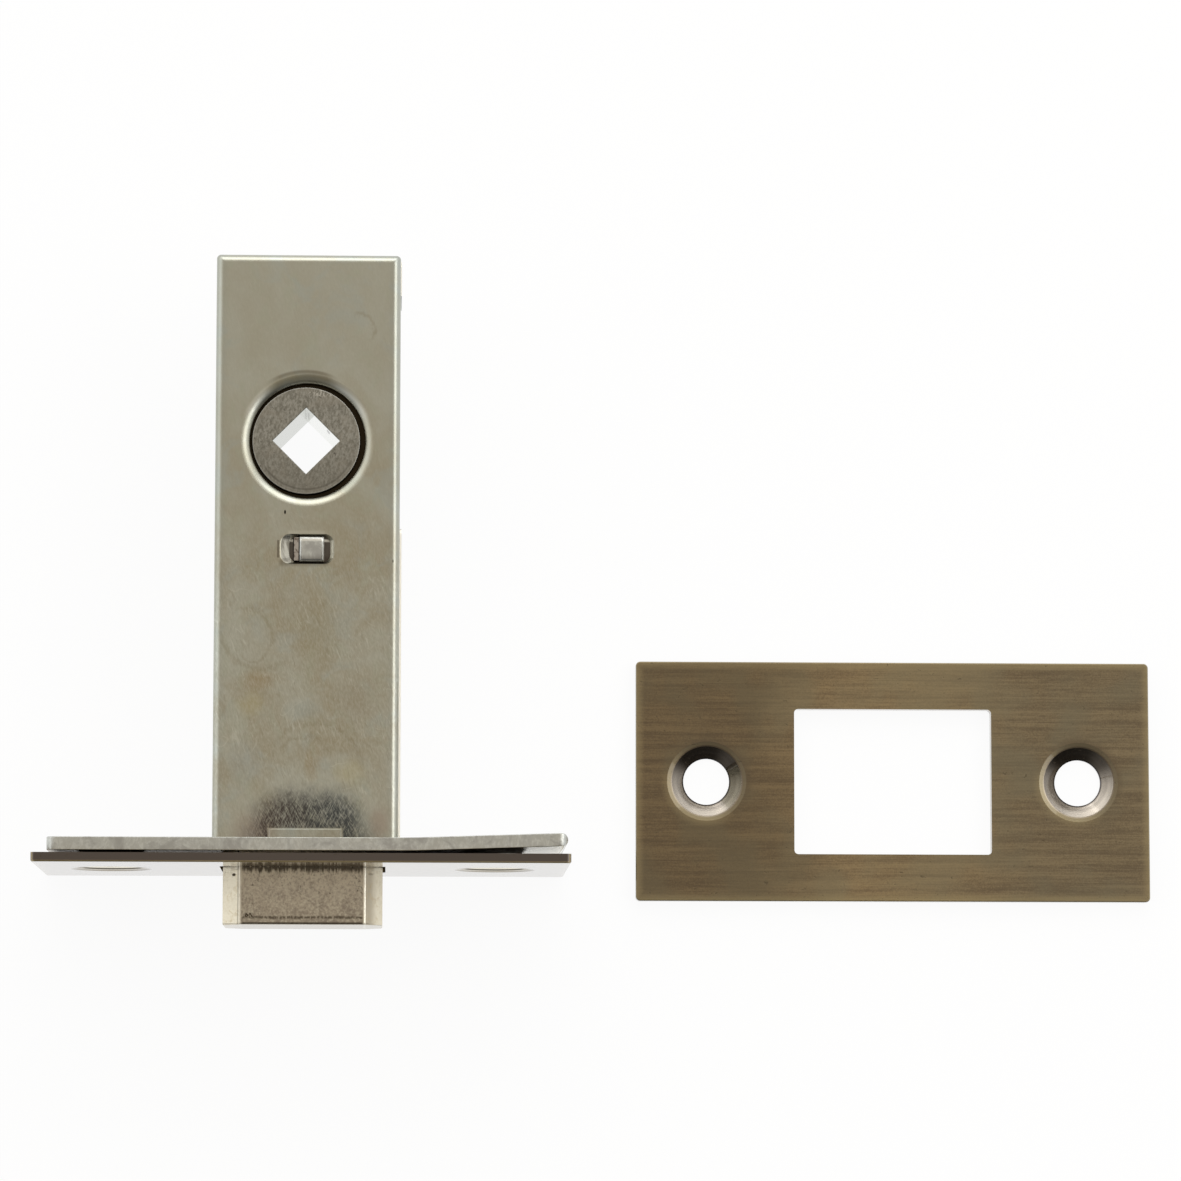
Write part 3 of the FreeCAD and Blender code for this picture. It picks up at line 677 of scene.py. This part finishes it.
def castFace(tree, point, y, fromMiddle):
    # a mottled casting, with painted light making it lighter towards the mouth of the forend
    grain = noise(tree, point, 0.3, 4, 0.7, 0.3)
    patches = noise(tree, point, 3.0, 4, 0.55, 0.6, offset=(2, 5, 1))
    colour = blend(tree, spread(tree, patches, 0.36, 0.66, 0, 0.8), boltLook["base"], boltLook["dark"])
    mouthLight = spread(tree, y, -4.8, -0.8, 0, 0.8, smooth=False)
    mouthLight = times(tree, mouthLight, spread(tree, fromMiddle, 6.7, 6.5))
    colour = blend(tree, mouthLight, colour, boltLook["lit"])
    smears = noise(tree, point, 0.9, 4, 0.7, 0.5, (1, 0.5, 1), 12, (8, 2, 2))
    colour = blend(tree, spread(tree, smears, 0.5, 0.66, 0, 0.45), colour, boltLook["pale"])
    colour = blend(tree, spread(tree, smears, 0.5, 0.34, 0, 0.45), colour, boltLook["dark"])
    colour = blend(tree, spread(tree, grain, 0.5, 0.64, 0, 0.75), colour, boltLook["pale"])
    return blend(tree, spread(tree, grain, 0.5, 0.36, 0, 0.7), colour, boltLook["dark"]), grain


def litBevels(tree, colour, point, x, fromMiddle, onBevel):
    # the bevelled sides are painted a pale cream as a painted highlight, with painted shade beside the
    # face on the right
    shade = times(tree, spread(tree, x, 8.1, 7.1, 0, 0.85), spread(tree, x, 6.6, 6.7))
    bevelColour = blend(tree, shade, boltLook["bevelHighlight"], boltLook["bevelHighlightShaded"])
    stains = noise(tree, point, 0.9, 4, 0.65, 0.8, offset=(3, 3, 7))
    bevelColour = blend(tree, spread(tree, stains, 0.5, 0.68, 0, 0.5), bevelColour, boltLook["stain"])
    colour = blend(tree, times(tree, onBevel, 0.95), colour, bevelColour)
    # a painted highlight along the edges of the face, weaker on the left
    fromEdge = maths(tree, "ABSOLUTE", maths(tree, "SUBTRACT", fromMiddle, boltLook["edgeAt"]))
    edgeShare = spread(tree, x, -6, 6, 0.65, 1.0)
    edgeHighlight = times(tree, spread(tree, fromEdge, 0.17, 0.08), edgeShare)
    colour = blend(tree, edgeHighlight, colour, boltLook["line"])
    # painted shade in a thin line on the left bevel beside the edge
    shadeBesideEdge = times(tree, spread(tree, x, -6.98, -6.9), spread(tree, x, -6.76, -6.84))
    return blend(tree, times(tree, shadeBesideEdge, 0.45), colour, boltLook["pitAndShade"])


def castPits(tree, point, y, onBody):
    # pits in patches, fewer towards the end of the bolt
    pits = noise(tree, point, 0.26, 3, 0.6, 0.5, (1, 0.7, 1), -25, (7, 1, 3))
    pitPlace = spread(tree, noise(tree, point, 2.0, 3, 0.6, offset=(4, 4, 9)), 0.42, 0.6, 0.2, 1.0)
    pitPlace = times(tree, pitPlace, spread(tree, y, -4.6, -2.2, 0.4, 1))
    return times(tree, times(tree, spread(tree, pits, 0.56, 0.7), pitPlace), onBody)


def mouthShade(tree, colour, point, y, onFlat):
    # a painted glint where the bolt passes into the mouth of the forend, and a band of painted shade
    # beside the mouth, in spikes along the bolt
    spikes = noise(tree, point, 0.22, 3, 0.6, stretch=(1, 0.15, 1))
    spikePlace = maths(tree, "ADD", y, sway(tree, spikes, 1.6))
    inMouth = times(tree, spread(tree, spikePlace, 0.15, 0.4), spread(tree, y, 0.35, 0.1))
    colour = blend(tree, inMouth, colour, boltLook["mouthGlint"])
    band = times(tree, spread(tree, spikePlace, -0.75, -0.15), spread(tree, spikePlace, 0.45, 0.1))
    band = times(tree, band, spread(tree, onFlat, 0, 1, 0.2, 1))
    return blend(tree, times(tree, band, 0.85), colour, boltLook["streakedDark"])


def endMarks(tree, colour, point, y, onFlat, onBody):
    # a wavy pitted line and a curl near the end, a spot at each side of the mouth, and painted shade
    # along the nose
    wave = noise(tree, point, 0.5, 3, 0.65, offset=(5, 0, 0))
    linePlace = maths(tree, "ADD", y, sway(tree, wave, 0.4))
    fromLine = maths(tree, "ABSOLUTE", maths(tree, "ADD", linePlace, 5.42))
    dashes = noise(tree, point, 0.4, 3, 0.6, stretch=(1, 0.3, 1), offset=(2, 0, 6))
    line = times(tree, spread(tree, fromLine, 0.22, 0.05, 0, 0.75), onFlat)
    line = times(tree, line, spread(tree, dashes, 0.4, 0.52, 0.25, 1.0))
    curl = spot(tree, point, (-5.7, -5.2, 5.6), (0.7, 0.35, 2))
    curl = times(tree, curl, spread(tree, wave, 0.5, 0.6))
    leftMark = spot(tree, point, (-7.35, -0.85, 5.0), (0.28, 0.22, 1.5))
    rightMark = spot(tree, point, (7.3, -0.75, 5.0), (0.35, 0.16, 1.5))
    mouthMark = strongest(tree, leftMark, times(tree, rightMark, 0.4))
    line = strongest(tree, line, strongest(tree, curl, mouthMark))
    colour = blend(tree, line, colour, boltLook["pitAndShade"])
    noseShade = times(tree, spread(tree, y, -5.88, -5.98), onBody)
    noseShade = times(tree, noseShade, times(tree, onFlat, 0.8))
    return blend(tree, noseShade, colour, boltLook["pitAndShade"])


def makeBoltFinish():
    material, tree, shader = newFinish("pittedBronze")
    point = objectPoint(tree)
    x, y = axisValues(tree, point)[:2]
    fromMiddle = maths(tree, "ABSOLUTE", x)
    onBevel = spread(tree, fromMiddle, 6.66, 6.76)
    onFlat = spread(tree, fromMiddle, 6.6, 6.3)
    onEnd = spread(tree, y, -6.1, -6.18)
    onBody = inverse(tree, onEnd)
    colour, grain = castFace(tree, point, y, fromMiddle)
    colour = litBevels(tree, colour, point, x, fromMiddle, onBevel)
    pits = castPits(tree, point, y, onBody)
    pitShare = spread(tree, onBevel, 0, 1, 0.75, 0.1)
    colour = blend(tree, times(tree, pits, pitShare), colour, boltLook["pitAndShade"])
    colour = mouthShade(tree, colour, point, y, onFlat)
    colour = endMarks(tree, colour, point, y, onFlat, onBody)
    # the end is plainer and shinier than the body, and painted paler as a painted reflection
    endShade = spread(tree, grain, 0.4, 0.64, 0, 0.7)
    endColour = blend(tree, endShade, boltLook["end"], boltLook["endGrain"])
    colour = blend(tree, times(tree, onEnd, 0.8), colour, endColour)
    roughness = spread(tree, grain, 0.3, 0.7, *boltLook["roughness"])
    roughness = between(tree, onEnd, roughness, boltLook["endRoughness"])
    height = maths(tree, "SUBTRACT", grain, times(tree, pits, 1.5))
    finishSurface(tree, shader, colour, roughness, times(tree, height, onBody), 0.015)
    return material


dress(makeBoltFinish(), "bolt_head")
print("bolt finished")


# dark turned face of the follower, with a bright broached square whose walls are painted shaded on the
# left and lit on the right, painted shade below its face, and bright spring strip

followerLook = {
    "base": "#A2A097",
    "dark": "#7F7D74",
    "worn": "#999489",
    "lower": "#79766C",
    "rim": "#ADACA5",
    "ring": "#55514A",
    "shadedWallLeft": "#B4B7AE",
    "litWallRight": "#ECEEE8",
    "scuff": "#C9C6BC",
    "mark": "#35312C",
    "shadeBrown": "#2F281D",
    "roughness": (0.33, 0.44),
    "wallRoughness": 0.12,
    "rimAt": 5.72,
}


def turnedFace(tree, local, x, y, grain):
    # darker below, with a painted highlight round the rim, some scuffs above and part of a turned ring
    patches = noise(tree, local, 1.8, 4, 0.6, 0.5)
    colour = blend(tree, spread(tree, grain, 0.34, 0.66), followerLook["dark"], followerLook["base"])
    colour = blend(tree, spread(tree, patches, 0.45, 0.65, 0, 0.5), colour, followerLook["worn"])
    colour = blend(tree, spread(tree, y, 1.5, -5.5, 0, 0.45), colour, followerLook["lower"])
    radius = fromAxis(tree, x, y)
    # painted highlight round the rim
    rimAmount = spread(tree, radius, followerLook["rimAt"] - 0.1, followerLook["rimAt"], 0, 0.6)
    colour = blend(tree, rimAmount, colour, followerLook["rim"])
    scuffs = spot(tree, local, (1.8, 5.2, 5.6), (1.9, 0.5, 1))
    scuffs = times(tree, scuffs, spread(tree, grain, 0.46, 0.6))
    colour = blend(tree, times(tree, scuffs, 0.6), colour, followerLook["scuff"])
    turnedRing = times(tree, spread(tree, radius, 5.1, 5.25), spread(tree, radius, 5.45, 5.3))
    turnedRing = times(tree, turnedRing, spread(tree, y, -1.5, -4.0, 0, 0.45))
    return blend(tree, turnedRing, colour, followerLook["ring"])


def squareMarks(tree, local):
    # a nick and some tool marks on the walls of the square, and specks all over
    nick = spot(tree, local, (2.36, 1.25, 3.5), (0.3, 0.3, 1.5))
    chatter = spread(tree, noise(tree, local, 0.25, 2, 0.6, stretch=(1, 1, 0.2)), 0.5, 0.58, 0, 0.6)
    toolMarks = times(tree, spot(tree, local, (0.1, 3.5, 0.3), (0.55, 0.4, 3.4)), chatter)
    specks = spread(tree, noise(tree, local, 0.4, 3, 0.6, 0.8, offset=(4, 4, 2)), 0.66, 0.7)
    return strongest(tree, nick, toolMarks, times(tree, specks, 0.5))


def makeFollowerFinish():
    material, tree, shader = newFinish("turnedGrey")
    local = moved(tree, objectPoint(tree), (-hubCentre[0], -hubCentre[1], 0))
    x, y, z = axisValues(tree, local)
    grain = noise(tree, local, 0.2, 4, 0.65, 0.2, stretch=(1, 0.5, 0.3), lean=8)
    colour = turnedFace(tree, local, x, y, grain)
    # the square stands on a corner, so at its walls the two distances add up to half its diagonal
    sides = maths(tree, "ADD", maths(tree, "ABSOLUTE", x), maths(tree, "ABSOLUTE", y))
    inSquare = spread(tree, sides, 3.66, 3.62)
    # the walls of the square are painted, shaded on the left and lit on the right
    wallSide = spread(tree, x, -0.2, 0.4)
    wallColour = blend(tree, wallSide, followerLook["shadedWallLeft"], followerLook["litWallRight"])
    colour = blend(tree, inSquare, colour, wallColour)
    # painted shade on the side of the follower below its face
    low = spread(tree, maths(tree, "ABSOLUTE", z), 5.44, 5.3)
    outside = spread(tree, sides, 3.7, 3.8)
    colour = blend(tree, times(tree, low, outside), colour, followerLook["shadeBrown"])
    colour = blend(tree, squareMarks(tree, local), colour, followerLook["mark"])
    roughness = spread(tree, grain, 0.3, 0.7, *followerLook["roughness"])
    roughness = between(tree, inSquare, roughness, followerLook["wallRoughness"])
    finishSurface(tree, shader, colour, roughness, grain, 0.008)
    return material


springLook = {
    "dark": "#A39D95",
    "pale": "#C2BCB4",
    "mottle": "#65584F",
    "roughness": (0.25, 0.4),
}


def makeSpringFinish():
    material, tree, shader = newFinish("springStrip")
    point = objectPoint(tree)
    grain = noise(tree, point, 0.2, 3, 0.6, stretch=(0.1, 0.1, 1))
    mottle = noise(tree, point, 0.5, 3, 0.6, offset=(3, 2, 1))
    colour = blend(tree, grain, springLook["dark"], springLook["pale"])
    colour = blend(tree, spread(tree, mottle, 0.5, 0.6, 0, 0.7), colour, springLook["mottle"])
    roughness = spread(tree, grain, 0.3, 0.7, *springLook["roughness"])
    finishSurface(tree, shader, colour, roughness, grain, 0.008)
    return material


dress(makeFollowerFinish(), "follower")
dress(makeSpringFinish(), "detent_spring", "drive_pin")
print("follower finished")


# small rounds on the edges that catch the light

edgeRounds = {
    "bolt_head": 0.1,
    "follower": 0.08,
    "inner_forend": 0.08,
    "guide_post": 0.08,
    "upper_tail_plate": 0.06,
    "lower_tail_plate": 0.06,
}
joinDistance = 0.001
sharpAngle = 32


def roundEdges(name, width):
    part = nodes[name]
    part.modifiers.new("joinFaces", "WELD").merge_threshold = joinDistance * mm
    rounds = part.modifiers.new("edgeRound", "BEVEL")
    rounds.width = width * mm
    rounds.segments = 3
    rounds.limit_method = "ANGLE"
    rounds.angle_limit = math.radians(sharpAngle)
    rounds.use_clamp_overlap = False
    rounds.harden_normals = True


for name, width in edgeRounds.items():
    roundEdges(name, width)
print("edges rounded")


# floor, soft panels and camera

studio = {
    "floorSize": 3.0,
    "floorColour": "#FFFFFF",
    "floorGlow": 0.93,
    "floorGap": 0.00005,
    "panelTarget": (0, 0.02, 0),
    "cameraPlace": (9.543, -32.92, 572.3),
    "cameraTurn": (6.317, -2.131, 0.3),
    "lens": 161.56,
}

# soft panels: name, place, width, height and brightness
softPanels = [
    ("backPanel", (0.05, 0.65, 0.36), 0.75, 0.5, 1.4),
    ("rightPanel", (0.55, 0.1, 0.5), 0.6, 0.4, 1.45),
]

# light of the room on each side, where the front goes from its level at the floor to that overhead
roomLight = {
    "walls": 1.0,
    "front": (0.04, 0.32),
    "backGlow": 0.25,
    "leftGlow": 0.25,
    "ceiling": (0.3, 0.62),
    "wallColour": "#FFFFFF",
    "ceilingColour": "#FFF5E6",
}


def makeFloor():
    level = cadLow.z - studio["floorGap"]
    bpy.ops.mesh.primitive_plane_add(size=studio["floorSize"], location=(0, 0, level))
    floor = bpy.context.object
    floor.name = "floor"
    material = bpy.data.materials.new("paleFloor")
    material.use_nodes = True
    tree = material.node_tree
    shader = tree.nodes["Principled BSDF"]
    shader.inputs["Base Color"].default_value = hexColour(studio["floorColour"])
    shader.inputs["Roughness"].default_value = 0.9
    shader.inputs["Specular IOR Level"].default_value = 0.0
    glow = addNode(tree, "Emission", {"Color": (1, 1, 1, 1), "Strength": 1.0})
    path = addNode(tree, "LightPath").outputs
    seen = strongest(tree, path["Is Camera Ray"], path["Is Glossy Ray"], path["Is Transmission Ray"])
    share = times(tree, seen, studio["floorGlow"])
    mixed = addNode(tree, "MixShader", {0: share, 1: shader.outputs[0], 2: glow.outputs[0]})
    tree.links.new(mixed.outputs[0], tree.nodes["Material Output"].inputs["Surface"])
    floor.data.materials.append(material)


def makePanel(name, place, width, height, brightness):
    light = bpy.data.lights.new(name, "AREA")
    light.shape = "RECTANGLE"
    light.size = width
    light.size_y = height
    light.energy = brightness * math.pi * width * height
    panel = bpy.data.objects.new(name, light)
    panel.location = place
    aim = Vector(studio["panelTarget"]) - Vector(place)
    panel.rotation_euler = aim.to_track_quat("-Z", "Y").to_euler()
    bpy.context.scene.collection.objects.link(panel)


def makeWorld():
    # a white room with a calmer ceiling, brighter at the back and dark at the front
    world = bpy.data.worlds.new("softRoom")
    bpy.context.scene.world = world
    world.use_nodes = True
    tree = world.node_tree
    x, y, z = axisValues(tree, addNode(tree, "TexCoord").outputs["Generated"])
    overhead = spread(tree, z, 0.5, 0.93)
    front = spread(tree, z, 0.2, 0.6, *roomLight["front"])
    walls = between(tree, spread(tree, y, -0.6, 0.0), front, roomLight["walls"])
    walls = maths(tree, "ADD", walls, spread(tree, y, 0.2, 0.75, 0, roomLight["backGlow"]))
    walls = maths(tree, "ADD", walls, spread(tree, x, -0.2, -0.7, 0, roomLight["leftGlow"]))
    ceiling = spread(tree, y, -0.5, 0.04, *roomLight["ceiling"])
    level = between(tree, overhead, walls, ceiling)
    background = tree.nodes["Background"]
    tint = blend(tree, overhead, roomLight["wallColour"], roomLight["ceilingColour"])
    tree.links.new(tint, background.inputs["Color"])
    tree.links.new(level, background.inputs["Strength"])


def makeCamera():
    data = bpy.data.cameras.new("camera")
    data.lens = studio["lens"]
    data.sensor_width = 36
    data.clip_start = 0.01
    camera = bpy.data.objects.new("camera", data)
    camera.rotation_mode = "ZYX"
    camera.location = Vector(studio["cameraPlace"]) * mm
    camera.rotation_euler = [math.radians(a) for a in studio["cameraTurn"]]
    bpy.context.scene.collection.objects.link(camera)
    bpy.context.scene.camera = camera


makeFloor()
makeWorld()
for panel in softPanels:
    makePanel(*panel)
makeCamera()
bpy.context.scene.view_settings.view_transform = "Standard"
print("studio ready")
